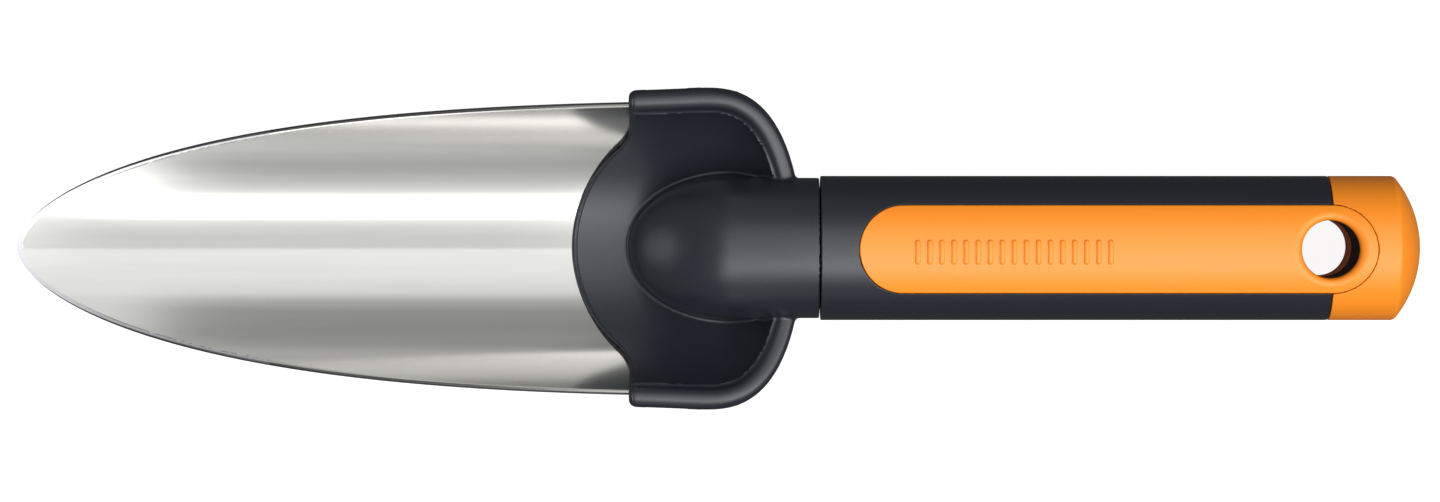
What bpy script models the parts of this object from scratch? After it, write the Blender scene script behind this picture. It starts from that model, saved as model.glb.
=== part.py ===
"""Hand trowel: a stainless trough blade held in a moulded head, on a two-colour grip.

The tool lies along X with its tip at -X and its hollow side up. It rests on the flat
heel under the head and on the underside of the grip, both at Z = 0. Sizes are in metres.
"""
import math

import bmesh
import bpy

MM = 0.001

# Overall sizes.
TOOL_LENGTH = 325.0 * MM          # blade tip to the end of the grip
GRIP_LENGTH = 139.2 * MM          # parting line at the neck to the end of the grip
GRIP_R = 16.75 * MM
CLEARANCE = 0.3 * MM              # between pieces that touch

# Blade: a sheet bent to one radius, with a pointed outline.
BLADE_HALF_WIDTH = 33.6 * MM
BLADE_RIM_ANGLE = math.radians(61.6)   # half the arc that the section covers
SHEET = 1.2 * MM
TIP_HALF_WIDTH = 0.7 * MM
OUTLINE_SPAN = 168.0 * MM         # tip to where the outline would run straight
OUTLINE_POWER = 2.57              # higher fills the outline out towards the tip
OUTLINE_ROUNDING = 0.532          # about one half, as on a circle: higher points the tip

# Head: scoop-shaped socket for the blade, with a neck for the grip.
SHOULDER_SETBACK = 44.4 * MM      # parting line to the flat faces beside the apron
SCOOP_STRAIGHT_END = 26.8 * MM    # parting line to where the scoop starts to close
SCOOP_END_LENGTH = 26.0 * MM      # half axis of the scoop's rounded end
SCOOP_END_POWER = 2.7             # 2 would make that end an ellipse: higher is squarer
NECK_SHOW = 7.7 * MM              # parting line to where the rim is lowest
NECK_STEP = 0.45 * MM             # the neck is this much slimmer than the grip
NECK_CHAMFER = 0.4 * MM
APRON_R = 30.5 * MM
APRON_CENTRE_SETBACK = 27.6 * MM  # parting line to the centre of the apron's front edge
WALL_UNDER_BLADE = 2.5 * MM
WALL_OVER_BLADE = 1.0 * MM
HEEL_FLAT_DEPTH = 0.5 * MM        # how deep the flat heel cuts into the round belly
SIDE_COVER = 3.75 * MM            # blade edge to the outside of the rim
BEAD_R = 2.55 * MM
BEAD_OUTSIDE_BLADE = 0.4 * MM     # bead's centre line outside the sheet's outer face
RIM_DROP = 6.15 * MM              # how far the rim falls towards the neck
RIM_DROP_POWER = 2.8
NOSE_LENGTH = 24.4 * MM
NOSE_CENTRE_SETBACK = 20.3 * MM   # parting line to the middle of the nose
NOSE_FLARE = 1.1 * MM             # the nose is this much wider than the neck
NECK_END_LENGTH = 16.0 * MM       # rounded front end of the neck, inside the nose

# Blade root inside the head.
ROOT_DEPTH = 25.0 * MM            # blade hidden behind the shoulders
KEY_R = 2.5 * MM
KEY_FROM_ROOT_END = 8.0 * MM
KEY_SPACING = 16.0 * MM
KEY_COUNT = 3

# Grip.
SLEEVE_WALL = 4.45 * MM
CAP_LENGTH = 21.5 * MM            # seam of the end cap to the end of the grip
DOME_HEIGHT = 6.2 * MM
DOME_EDGE_R = 1.0 * MM
CAP_BORE_DEPTH = 9.2 * MM
EDGE_CHAMFER = 0.4 * MM
INLAY_HALF_WIDTH = 10.13 * MM
INLAY_THICKNESS = 2.15 * MM
INLAY_START = 8.8 * MM            # behind the parting line
HANG_HOLE_R = 6.66 * MM
HANG_HOLE_AHEAD_OF_SEAM = 0.6 * MM
HANG_HOLE_FLARE = 1.4 * MM        # rounding of the hole's edge

# Core and its joint to the head.
CORE_WALL = 3.2 * MM
TANG_LENGTH = 36.0 * MM
SOCKET_END_WALL = 4.0 * MM
CORE_START_GAP = 0.3 * MM
SPAR_THICKNESS = 3.0 * MM
EYE_WALL = 2.34 * MM
EYE_BOTTOM = -3.5 * MM            # below the grip's axis
TONGUE_HALF_THICKNESS = 3.0 * MM
TONGUE_LENGTH = 9.0 * MM          # flat part between the ribs and the eye's centre
PIN_R = 2.0 * MM
PIN_BEHIND_PARTING = 22.0 * MM
PIN_END_GAP = 0.6 * MM            # pin end to the inlay

# Mesh fineness.
ROUND_STEPS = 64
HOLE_STEPS = 40
ARC_STEPS = 16
BLADE_STATIONS = 24
BLADE_STRIPS = 16
WELD = 0.002 * MM                 # points closer than this are one point

# Places that follow from the sizes.
TIP_X = -TOOL_LENGTH / 2
END_X = TOOL_LENGTH / 2
PARTING_X = END_X - GRIP_LENGTH
SEAM_X = END_X - CAP_LENGTH
SHOULDER_X = PARTING_X - SHOULDER_SETBACK
ROOT_X = SHOULDER_X + ROOT_DEPTH
AXIS_Z = GRIP_R
NECK_R = GRIP_R - NECK_STEP
BORE_R = GRIP_R - SLEEVE_WALL
CORE_R = BORE_R - CLEARANCE
SOCKET_R = CORE_R - CORE_WALL
TANG_R = SOCKET_R - CLEARANCE
TANG_END_X = PARTING_X + TANG_LENGTH
INLAY_INNER_R = GRIP_R - INLAY_THICKNESS
RECESS_R = INLAY_INNER_R - CLEARANCE
HANG_X = SEAM_X - HANG_HOLE_AHEAD_OF_SEAM
EYE_R = HANG_HOLE_R + EYE_WALL
PIN_X = PARTING_X + PIN_BEHIND_PARTING
BLADE_OUTER_R = BLADE_HALF_WIDTH / math.sin(BLADE_RIM_ANGLE)
BLADE_INNER_R = BLADE_OUTER_R - SHEET
BELLY_R = BLADE_OUTER_R + CLEARANCE + WALL_UNDER_BLADE
HOLLOW_R = BLADE_INNER_R - CLEARANCE - WALL_OVER_BLADE
TROUGH_Z = BELLY_R - HEEL_FLAT_DEPTH          # axis of the bent sheet
FLOOR_Z = TROUGH_Z - HOLLOW_R
SCOOP_TURN_X = PARTING_X - SCOOP_STRAIGHT_END
SCOOP_BACK_X = PARTING_X - NECK_SHOW
BEAD_Y = BLADE_HALF_WIDTH + SIDE_COVER - BEAD_R
BEAD_PATH_R = BLADE_OUTER_R + BEAD_OUTSIDE_BLADE
RIM_Z = TROUGH_Z - math.sqrt(BEAD_PATH_R ** 2 - BEAD_Y ** 2)
APRON_X = PARTING_X - APRON_CENTRE_SETBACK
FAR = 0.1                                      # reach of cutters past the part

MATERIALS = {
    "stainless": ((0.62, 0.61, 0.58), 0.28, 1.0),
    "black_nylon": ((0.016, 0.018, 0.022), 0.55, 0.0),
    "orange_soft_touch": ((0.92, 0.27, 0.03), 0.50, 0.0),
    "pin_steel": ((0.55, 0.56, 0.57), 0.35, 1.0),
}


# ---------------------------------------------------------------- scene helpers

def clear_scene():
    for obj in list(bpy.data.objects):
        bpy.data.objects.remove(obj, do_unlink=True)


def new_collection(name):
    collection = bpy.data.collections.new(name)
    bpy.context.scene.collection.children.link(collection)
    return collection


def principled(name):
    colour, roughness, metallic = MATERIALS[name]
    material = bpy.data.materials.new(name)
    material.use_nodes = True
    shader = material.node_tree.nodes["Principled BSDF"]
    shader.inputs["Base Color"].default_value = (*colour, 1.0)
    shader.inputs["Roughness"].default_value = roughness
    shader.inputs["Metallic"].default_value = metallic
    return material


def add_object(name, data):
    obj = bpy.data.objects.new(name, data)
    CUTTERS.objects.link(obj)
    obj.hide_render = True
    obj.display_type = "WIRE"
    return obj


def finish_part(obj, material_name):
    """Move a finished shape from the cutters to the tool's own collection."""
    CUTTERS.objects.unlink(obj)
    TROWEL.objects.link(obj)
    obj.hide_render = False
    obj.display_type = "TEXTURED"
    obj.data.materials.clear()
    obj.data.materials.append(PAINTS[material_name])
    obj.data.shade_smooth()
    obj.data.set_sharp_from_angle(angle=math.radians(30))
    obj.parent = ROOT
    return obj


def boolean(obj, operation, other):
    """Apply one Boolean and weld its edges, so that the next one gets a clean solid."""
    modifier = obj.modifiers.new(operation.lower() + "_" + other.name, "BOOLEAN")
    modifier.operation = operation
    modifier.object = other
    modifier.solver = "EXACT"
    return plain_mesh(obj)


def cut(obj, other):
    return boolean(obj, "DIFFERENCE", other)


def keep(obj, other):
    return boolean(obj, "INTERSECT", other)


def join(obj, other):
    return boolean(obj, "UNION", other)


def plain_mesh(obj):
    """Swap an object for one whose mesh already holds what its modifiers or curve make."""
    bpy.context.view_layer.update()
    depsgraph = bpy.context.evaluated_depsgraph_get()
    mesh = bpy.data.meshes.new_from_object(obj.evaluated_get(depsgraph))
    bm = bmesh.new()
    bm.from_mesh(mesh)
    bmesh.ops.remove_doubles(bm, verts=bm.verts, dist=WELD)
    bmesh.ops.transform(bm, matrix=obj.matrix_world, verts=bm.verts)
    bmesh.ops.recalc_face_normals(bm, faces=bm.faces)
    bm.to_mesh(mesh)
    bm.free()
    name = obj.name
    bpy.data.objects.remove(obj, do_unlink=True)
    return add_object(name, mesh)


# ---------------------------------------------------------------- shape helpers

def turned(name, profile, steps, closed=False):
    """Turn a profile of (height, radius) points, top to bottom, about Z."""
    mesh = bpy.data.meshes.new(name)
    points = [(radius, 0.0, height) for height, radius in profile]
    edges = [(i, i + 1) for i in range(len(points) - 1)]
    if closed:
        edges.append((len(points) - 1, 0))
    mesh.from_pydata(points, edges, [])
    obj = add_object(name, mesh)
    screw = obj.modifiers.new("turn", "SCREW")
    screw.axis = "Z"
    screw.steps = steps
    screw.render_steps = steps
    screw.use_merge_vertices = True
    screw.merge_threshold = 1e-5
    return obj


def turned_along_x(name, profile, axis_z, closed=False):
    """Turn a profile of (x, radius) points, from the +X end, about a line along X."""
    obj = turned(name, profile, ROUND_STEPS, closed)
    obj.rotation_euler = (0.0, math.pi / 2, 0.0)
    obj.location = (0.0, 0.0, axis_z)
    return plain_mesh(obj)


def turned_along_z(name, profile, x, y=0.0):
    """Turn a profile of (z, radius) points, with a flat facet square to X."""
    obj = turned(name, profile, HOLE_STEPS)
    obj.rotation_euler = (0.0, 0.0, math.pi / HOLE_STEPS)
    obj.location = (x, y, 0.0)
    return plain_mesh(obj)


def post(name, x, y, low, high, radius):
    profile = [(high, 0.0), (high, radius), (low, radius), (low, 0.0)]
    return turned_along_z(name, profile, x, y)


def prism(name, outline, low, high, side_view=False):
    """Extrude a closed outline along Z, or along Y when it is drawn in side view."""
    curve = bpy.data.curves.new(name, "CURVE")
    curve.dimensions = "2D"
    curve.fill_mode = "BOTH"
    curve.extrude = (high - low) / 2
    spline = curve.splines.new("POLY")
    spline.points.add(len(outline) - 1)
    for point, (a, b) in zip(spline.points, outline):
        point.co = (a, b, 0.0, 1.0)
    spline.use_cyclic_u = True
    obj = add_object(name, curve)
    middle = (low + high) / 2
    if side_view:
        obj.rotation_euler = (math.pi / 2, 0.0, 0.0)
        obj.location = (0.0, middle, 0.0)
    else:
        obj.location = (0.0, 0.0, middle)
    return plain_mesh(obj)


def arc(centre_x, centre_y, radius, start, end, steps=ARC_STEPS):
    """Points on an arc between two angles in radians, both ends included."""
    points = []
    for i in range(steps + 1):
        angle = start + (end - start) * i / steps
        points.append((centre_x + radius * math.cos(angle),
                       centre_y + radius * math.sin(angle)))
    return points


# ---------------------------------------------------------------- blade

def blade_half_width(x):
    """Half the blade's width: a superellipse that is full at the head."""
    along = min(max((x - TIP_X) / OUTLINE_SPAN, 0.0), 1.0)
    fullness = (1.0 - (1.0 - along) ** OUTLINE_POWER) ** OUTLINE_ROUNDING
    return max(TIP_HALF_WIDTH, BLADE_HALF_WIDTH * fullness)


def bent_sheet(name, start_x, end_x, grow):
    """The bent sheet from one place along the tool to another, grown on all sides."""
    bm = bmesh.new()
    bmesh.ops.create_grid(bm, x_segments=BLADE_STATIONS, y_segments=BLADE_STRIPS, size=0.5)
    inner_r = BLADE_INNER_R - grow
    for vert in bm.verts:
        along = vert.co.x + 0.5
        across = 2.0 * vert.co.y
        x = start_x + (end_x - start_x) * along ** 2
        rim_angle = math.asin(blade_half_width(x) / BLADE_OUTER_R) + grow / BLADE_OUTER_R
        angle = across * rim_angle
        floor_z = TROUGH_Z
        vert.co = (x, inner_r * math.sin(angle), floor_z - inner_r * math.cos(angle))
    mesh = bpy.data.meshes.new(name)
    bm.to_mesh(mesh)
    bm.free()
    obj = add_object(name, mesh)
    wall = obj.modifiers.new("sheet", "SOLIDIFY")
    wall.thickness = SHEET + 2.0 * grow
    wall.offset = -1.0
    wall.use_even_offset = True
    return plain_mesh(obj)


def key_posts(prefix, radius):
    posts = []
    for i in range(KEY_COUNT):
        y = (i - (KEY_COUNT - 1) / 2) * KEY_SPACING
        posts.append(post(f"{prefix}_{i + 1}", ROOT_X - KEY_FROM_ROOT_END, y,
                          -FAR, FAR, radius))
    return posts


def make_blade():
    blade = bent_sheet("blade", TIP_X, ROOT_X, 0.0)
    for hole in key_posts("key_hole", KEY_R + CLEARANCE):
        blade = cut(blade, hole)
    return finish_part(blade, "stainless")


# ---------------------------------------------------------------- head

def scoop_solid(name, radius, end_length):
    """A round bar along the trough's axis, with a rounded end towards the grip."""
    front_x = APRON_X - APRON_R - FAR / 10
    profile = []
    for i in range(ARC_STEPS + 1):
        angle = 0.5 * math.pi * i / ARC_STEPS
        closing = math.cos(angle) ** (2.0 / SCOOP_END_POWER)
        profile.append((SCOOP_TURN_X + end_length * closing, radius * math.sin(angle)))
    profile += [(front_x, radius), (front_x, 0.0)]
    return turned_along_x(name, profile, TROUGH_Z)


def rim_z(x):
    """Height of the rim bead's centre line: level along the sides, low at the neck."""
    closing = max(x - SCOOP_TURN_X, 0.0) / (SCOOP_BACK_X - SCOOP_TURN_X)
    return RIM_Z - RIM_DROP * closing ** RIM_DROP_POWER


def bead_path():
    """The rim's centre line on one side, from inside the neck to ahead of the shoulder."""
    end_length = SCOOP_END_LENGTH - (BELLY_R - BEAD_PATH_R)
    start_x = SHOULDER_X - 2.0 * BEAD_R
    stop_x = SCOOP_TURN_X + end_length
    points = []
    for i in range(2 * ARC_STEPS + 1):
        x = stop_x + (start_x - stop_x) * (i / (2 * ARC_STEPS)) ** 2
        closing = max(x - SCOOP_TURN_X, 0.0) / end_length
        radius = BEAD_PATH_R * math.sqrt(1.0 - closing ** SCOOP_END_POWER)
        z = rim_z(x)
        y = math.sqrt(max(radius ** 2 - (TROUGH_Z - z) ** 2, 0.0))
        if y > NECK_R / 2:
            points.append((x, y, z))
    return points


def rim_bead(name, side):
    curve = bpy.data.curves.new(name, "CURVE")
    curve.dimensions = "3D"
    curve.bevel_depth = BEAD_R
    curve.bevel_resolution = 4
    curve.use_fill_caps = True
    path = bead_path()
    spline = curve.splines.new("POLY")
    spline.points.add(len(path) - 1)
    for point, (x, y, z) in zip(spline.points, path):
        point.co = (x, side * y, z, 1.0)
    return plain_mesh(add_object(name, curve))


def scoop_side_view():
    """Everything of the scoop between the flat heel and the rim's centre line."""
    front_x = APRON_X - APRON_R - FAR / 5
    back_x = SCOOP_BACK_X + BEAD_R
    rim = []
    for i in range(ARC_STEPS + 1):
        x = SCOOP_TURN_X + (back_x - SCOOP_TURN_X) * i / ARC_STEPS
        rim.append((x, rim_z(x)))
    outline = [(front_x, 0.0), (front_x, RIM_Z)] + rim + [(back_x, 0.0)]
    return prism("scoop_side_view", outline, -FAR, FAR, side_view=True)


def head_plan():
    """Plan view of the head's front: a round apron between two flat shoulders."""
    reach = math.acos((APRON_X - SHOULDER_X) / APRON_R)
    apron = arc(APRON_X, 0.0, APRON_R, math.pi - reach, math.pi + reach)
    outline = [(PARTING_X, -FAR), (PARTING_X, FAR), (SHOULDER_X, FAR)]
    return prism("head_plan", outline + apron + [(SHOULDER_X, -FAR)], -FAR, FAR)


def nose():
    """The swelling that carries the neck down to the apron."""
    centre_x = PARTING_X - NOSE_CENTRE_SETBACK
    height = AXIS_Z + NECK_R - FLOOR_Z
    width = NECK_R + NOSE_FLARE
    profile = []
    for i in range(ARC_STEPS + 1):
        angle = math.pi * i / ARC_STEPS
        profile.append((math.cos(angle), math.sin(angle)))
    swelling = turned_along_x("nose", profile, 0.0)
    swelling.scale = (NOSE_LENGTH, width, height)
    swelling.location = (centre_x, 0.0, FLOOR_Z)
    swelling = plain_mesh(swelling)
    skin = HEEL_FLAT_DEPTH + CLEARANCE
    inside_belly = scoop_solid("nose_limit", BELLY_R - skin, SCOOP_END_LENGTH - skin)
    return keep(swelling, inside_belly)


def neck():
    """Round neck with a rounded end inside the nose, and the tang behind it."""
    face_x = PARTING_X - CLEARANCE
    front_x = PARTING_X - NOSE_CENTRE_SETBACK
    profile = [
        (TANG_END_X, 0.0),
        (TANG_END_X, TANG_R - NECK_CHAMFER),
        (TANG_END_X - NECK_CHAMFER, TANG_R),
        (face_x, TANG_R),
        (face_x, NECK_R - NECK_CHAMFER),
        (face_x - NECK_CHAMFER, NECK_R),
    ]
    for i in range(ARC_STEPS + 1):
        angle = 0.5 * math.pi * i / ARC_STEPS
        profile.append((front_x - NECK_END_LENGTH * math.sin(angle),
                        NECK_R * math.cos(angle)))
    return turned_along_x("neck", profile, AXIS_Z)


def make_head():
    head = scoop_solid("head_moulding", BELLY_R, SCOOP_END_LENGTH)
    wall = BELLY_R - HOLLOW_R
    head = cut(head, scoop_solid("scoop_hollow", HOLLOW_R, SCOOP_END_LENGTH - wall))
    head = keep(head, scoop_side_view())
    head = join(head, rim_bead("rim_bead_left", 1))
    head = join(head, rim_bead("rim_bead_right", -1))
    head = keep(head, head_plan())
    head = join(head, nose())
    head = join(head, neck())
    pocket = bent_sheet("blade_pocket", APRON_X - APRON_R - FAR / 10, ROOT_X + CLEARANCE,
                        CLEARANCE)
    for key in key_posts("key", KEY_R):
        pocket = cut(pocket, key)
    head = cut(head, pocket)
    head = cut(head, pin_hole())
    return finish_part(head, "black_nylon")


# ---------------------------------------------------------------- grip

def pin_hole():
    return post("pin_hole", PIN_X, 0.0, -FAR, FAR, PIN_R + CLEARANCE)


def make_pin():
    reach = INLAY_INNER_R - PIN_END_GAP
    pin = post("cross_pin", PIN_X, 0.0, AXIS_Z - reach, AXIS_Z + reach, PIN_R)
    return finish_part(pin, "pin_steel")


def stadium(name, grow, low, high):
    """Plan of an inlay: straight sides with a half round at each end."""
    radius = INLAY_HALF_WIDTH + grow
    front_x = PARTING_X + INLAY_START + INLAY_HALF_WIDTH
    outline = arc(front_x, 0.0, radius, 0.5 * math.pi, 1.5 * math.pi)
    outline += arc(SEAM_X, 0.0, radius, -0.5 * math.pi, 0.5 * math.pi)
    return prism(name, outline, low, high)


def ring_layer(name, inner_r, outer_r):
    """A tube about the grip's axis that covers the inlays' length."""
    back_x = SEAM_X + 2.0 * INLAY_HALF_WIDTH
    front_x = PARTING_X + 0.5 * INLAY_START
    profile = [(back_x, outer_r), (front_x, outer_r), (front_x, inner_r), (back_x, inner_r)]
    return turned_along_x(name, profile, AXIS_Z, closed=True)


def hang_bore():
    """The hole to hang the tool by, with rounded edges at both faces."""
    mouth = HANG_HOLE_R + HANG_HOLE_FLARE
    profile = [(AXIS_Z + FAR, 0.0), (AXIS_Z + FAR, mouth)]
    profile += [(AXIS_Z + z, r) for z, r in rim_points()]
    profile += [(AXIS_Z - z, r) for z, r in reversed(rim_points())]
    profile += [(AXIS_Z - FAR, mouth), (AXIS_Z - FAR, 0.0)]
    return turned_along_z("hang_bore", profile, HANG_X)


def rim_points():
    """(height, radius) down the rounded edge of the hang hole, from the surface in."""
    side_z = math.sqrt(GRIP_R ** 2 - (HANG_HOLE_R + HANG_HOLE_FLARE) ** 2)
    points = []
    for i in range(9):
        angle = 0.5 * math.pi * i / 8
        points.append((side_z - HANG_HOLE_FLARE * math.sin(angle),
                       HANG_HOLE_R + HANG_HOLE_FLARE * (1.0 - math.sin(angle))))
    return points


def grip_recesses(prefix):
    """Cutters for both inlays' beds and for the notch that the eye passes through."""
    bed = ring_layer(prefix + "_bed", RECESS_R, GRIP_R + FAR / 10)
    bed = keep(bed, stadium(prefix + "_bed_plan", CLEARANCE, -FAR, FAR))
    notch = post(prefix + "_notch", HANG_X, 0.0, -FAR, FAR, EYE_R + CLEARANCE)
    return [bed, notch]


def make_sleeve():
    face_x = SEAM_X - CLEARANCE / 2
    profile = [
        (face_x, GRIP_R),
        (PARTING_X + EDGE_CHAMFER, GRIP_R),
        (PARTING_X, GRIP_R - EDGE_CHAMFER),
        (PARTING_X, BORE_R),
        (face_x, BORE_R),
    ]
    sleeve = turned_along_x("grip_sleeve", profile, AXIS_Z, closed=True)
    for cutter in grip_recesses("sleeve") + [pin_hole()]:
        sleeve = cut(sleeve, cutter)
    return finish_part(sleeve, "black_nylon")


def cap_profile():
    """Outline of the end cap from the dome's middle round to the seam and its bore."""
    dome_r = (GRIP_R ** 2 + DOME_HEIGHT ** 2) / (2.0 * DOME_HEIGHT)
    centre_x = END_X - dome_r
    blend_x, blend_angle = edge_blend(centre_x, dome_r)
    profile = []
    for i in range(ARC_STEPS // 2 + 1):
        angle = blend_angle * i / (ARC_STEPS // 2)
        profile.append((centre_x + dome_r * math.cos(angle), dome_r * math.sin(angle)))
    for i in range(1, 7):
        angle = blend_angle + (0.5 * math.pi - blend_angle) * i / 6
        profile.append((blend_x + DOME_EDGE_R * math.cos(angle),
                        GRIP_R - DOME_EDGE_R + DOME_EDGE_R * math.sin(angle)))
    face_x = SEAM_X + CLEARANCE / 2
    bore_x = SEAM_X + CAP_BORE_DEPTH
    return profile + [(face_x, GRIP_R), (face_x, BORE_R), (bore_x, BORE_R), (bore_x, 0.0)]


def edge_blend(centre_x, dome_r):
    """Where the small arc between the dome and the cap's side has its centre."""
    centre_r = GRIP_R - DOME_EDGE_R
    angle = math.asin(centre_r / (dome_r - DOME_EDGE_R))
    return centre_x + (dome_r - DOME_EDGE_R) * math.cos(angle), angle


def make_cap():
    cap = turned_along_x("end_cap", cap_profile(), AXIS_Z)
    for cutter in grip_recesses("cap"):
        cap = cut(cap, cutter)
    return finish_part(cap, "orange_soft_touch")


def make_inlay(name, low, high):
    inlay = ring_layer(name, INLAY_INNER_R, GRIP_R)
    return keep(inlay, stadium(name + "_plan", 0.0, low, high))


def make_front_inlay():
    inlay = make_inlay("front_inlay", AXIS_Z, AXIS_Z + FAR)
    inlay = cut(inlay, hang_bore())
    return finish_part(inlay, "orange_soft_touch")


def make_rear_inlay():
    """The rear inlay also lines the last stretch of the hang hole with a collar."""
    inlay = make_inlay("rear_inlay", AXIS_Z - FAR, AXIS_Z)
    collar = post("collar", HANG_X, 0.0, AXIS_Z - GRIP_R,
                  AXIS_Z + EYE_BOTTOM - CLEARANCE, EYE_R)
    collar = keep(collar, ring_solid("collar_limit", GRIP_R - INLAY_THICKNESS / 2))
    inlay = join(inlay, collar)
    inlay = cut(inlay, hang_bore())
    return finish_part(inlay, "orange_soft_touch")


def ring_solid(name, radius):
    """A plain round bar about the grip's axis, to keep what lies inside a radius."""
    profile = [(END_X, 0.0), (END_X, radius), (PARTING_X, radius), (PARTING_X, 0.0)]
    return turned_along_x(name, profile, AXIS_Z)


# ---------------------------------------------------------------- core

def spar_rib(name, half_y, half_z, start_x, end_x):
    outline = [(start_x, -half_y), (end_x, -half_y), (end_x, half_y), (start_x, half_y)]
    return prism(name, outline, AXIS_Z - half_z, AXIS_Z + half_z)


def make_core():
    """Socket for the tang, crossed ribs down the grip, and an eye round the hang hole."""
    start_x = PARTING_X + CORE_START_GAP
    socket_x = TANG_END_X + CLEARANCE
    ribs_x = socket_x + SOCKET_END_WALL
    tongue_x = HANG_X - EYE_R - TONGUE_LENGTH
    profile = [(ribs_x, 0.0), (ribs_x, CORE_R), (start_x, CORE_R), (start_x, SOCKET_R),
               (socket_x, SOCKET_R), (socket_x, 0.0)]
    core = turned_along_x("handle_core", profile, AXIS_Z)
    rib_reach = CORE_R * math.cos(math.asin(0.5 * SPAR_THICKNESS / CORE_R)) - CLEARANCE
    half = SPAR_THICKNESS / 2
    inside = ribs_x - SOCKET_END_WALL / 2
    core = join(core, spar_rib("upright_rib", half, rib_reach, inside, tongue_x))
    core = join(core, spar_rib("flat_rib", rib_reach, half, inside, tongue_x - half))
    core = join(core, spar_rib("tongue", EYE_R - half, TONGUE_HALF_THICKNESS,
                               tongue_x - 2 * half, HANG_X))
    eye = post("eye", HANG_X, 0.0, AXIS_Z + EYE_BOTTOM, AXIS_Z + GRIP_R, EYE_R)
    core = join(core, keep(eye, ring_solid("eye_limit", RECESS_R)))
    core = cut(core, hang_bore())
    core = cut(core, pin_hole())
    return finish_part(core, "black_nylon")


clear_scene()
TROWEL = new_collection("hand_trowel")
CUTTERS = new_collection("cutters")
PAINTS = {name: principled(name) for name in MATERIALS}
ROOT = bpy.data.objects.new("hand_trowel_origin", None)
TROWEL.objects.link(ROOT)

make_blade()
make_head()
make_pin()
make_core()
make_sleeve()
make_front_inlay()
make_rear_inlay()
make_cap()
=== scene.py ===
# %% [markdown]
# # A hand trowel, piece by piece
# This lesson builds the look of a planting trowel round its engineering model. The engineering
# model, called the frame here, fixes where every piece is; we only give each piece a finer skin
# and a real finish. Everything is in metres: the tool lies along X with its tip at -X, and its
# hollow side looks up along +Z.

# %% Load the frame
import itertools
import math

import bpy
import numpy as np
from mathutils import Matrix, Vector


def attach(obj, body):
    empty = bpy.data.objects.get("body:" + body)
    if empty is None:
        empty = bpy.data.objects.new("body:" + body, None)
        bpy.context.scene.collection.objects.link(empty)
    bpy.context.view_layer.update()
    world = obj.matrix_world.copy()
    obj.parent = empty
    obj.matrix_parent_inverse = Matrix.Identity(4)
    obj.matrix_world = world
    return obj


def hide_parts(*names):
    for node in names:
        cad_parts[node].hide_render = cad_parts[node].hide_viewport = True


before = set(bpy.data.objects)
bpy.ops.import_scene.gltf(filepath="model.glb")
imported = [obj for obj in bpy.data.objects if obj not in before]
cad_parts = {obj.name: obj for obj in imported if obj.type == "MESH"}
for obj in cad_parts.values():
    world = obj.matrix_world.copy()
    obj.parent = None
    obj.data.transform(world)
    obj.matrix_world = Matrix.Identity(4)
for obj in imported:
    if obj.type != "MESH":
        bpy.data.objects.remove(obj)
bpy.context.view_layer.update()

print("nodes:", sorted(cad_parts))

# %% [markdown]
# ## The sizes
# A trowel has few sizes, and most pieces share them: the inlays lie in the sleeve, the cap goes
# on with the sleeve, and the blade goes into the head. We write each size once, in millimetres,
# because a maker thinks in millimetres, and turn it into metres only when a mesh is made.

# %% Sizes in millimetres
MM = 0.001
TIP_X, END_X = -165.1, 162.5            # the blade's point and the end of the cap
PARTING_X, SEAM_X = 23.3, 141.0        # neck to grip, and grip to end cap
SHOULDER_X, ROOT_X = -21.1, 3.9        # where the blade enters the head, and where it ends
GRIP_R = 16.75
AXIS_Z = GRIP_R                        # the grip lies on the table
GAP = 0.3                              # between neighbours
TIGHT = 0.12                           # between pieces moulded onto each other
TROUGH_Z = 40.5                        # axis of the bent sheet, above the table
SHEET_IN_R, SHEET_OUT_R = 37.0, 38.2   # inner and outer face of the bent sheet
BLADE_HALF = 34.3                      # half the blade's greatest width
HANG_X, HANG_R, EYE_R = 140.4, 6.66, 9.0
PIN_X, PIN_HOLE_R = 45.3, 2.3          # the cross pin hidden under the inlays

print("tool length:", END_X - TIP_X, "mm; grip:", END_X - PARTING_X, "mm")

# %% [markdown]
# ## The camera
# The tool is seen from straight above, from about 1.3 m. A long lens this far away keeps the
# two ends of the tool from leaning outwards much. A camera looks along its own -Z, so we build
# its three axes: backwards from the view, sideways, and an up that stays close to +Y.

# %% Camera
CAMERA_AT = Vector((0.0, 0.029, 1.317))
LOOKS_AT = Vector((0.0, -0.0007, AXIS_Z * MM))
LENS, SENSOR = 139.9, 36.0             # both in millimetres

camera_data = bpy.data.cameras.new("camera")
camera_data.lens, camera_data.sensor_width = LENS, SENSOR
camera = bpy.data.objects.new("camera", camera_data)
back = (CAMERA_AT - LOOKS_AT).normalized()
side = Vector((0.0, 1.0, 0.0)).cross(back).normalized()
turned = Matrix((side, back.cross(side), back)).transposed()
camera.matrix_world = Matrix.Translation(CAMERA_AT) @ turned.to_4x4()
bpy.context.scene.collection.objects.link(camera)
bpy.context.scene.camera = camera
print("camera:", round((CAMERA_AT - LOOKS_AT).length, 3), "m from the tool")

# %% [markdown]
# ## Small helpers for node trees
# Materials, the studio light and Geometry Nodes are all node trees. One helper adds a node and
# fills its inputs, with plain values or with the outputs of other nodes. A long sum made of
# Math nodes is hard to read when each node is written out, so a small class wraps an output:
# + - * / and ** on it add the Math nodes, and the sum reads like a formula.

# %% Node helpers
def add_node(tree, kind, inputs=None, **settings):
    """Add a node, set its options, and fill its inputs with values or links."""
    node = tree.nodes.new(kind)
    for key, value in settings.items():
        setattr(node, key, value)
    for key, value in (inputs or {}).items():
        value = getattr(value, "socket", value)
        if isinstance(value, bpy.types.NodeSocket):
            tree.links.new(value, node.inputs[key])
        else:
            node.inputs[key].default_value = value
    return node


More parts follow.
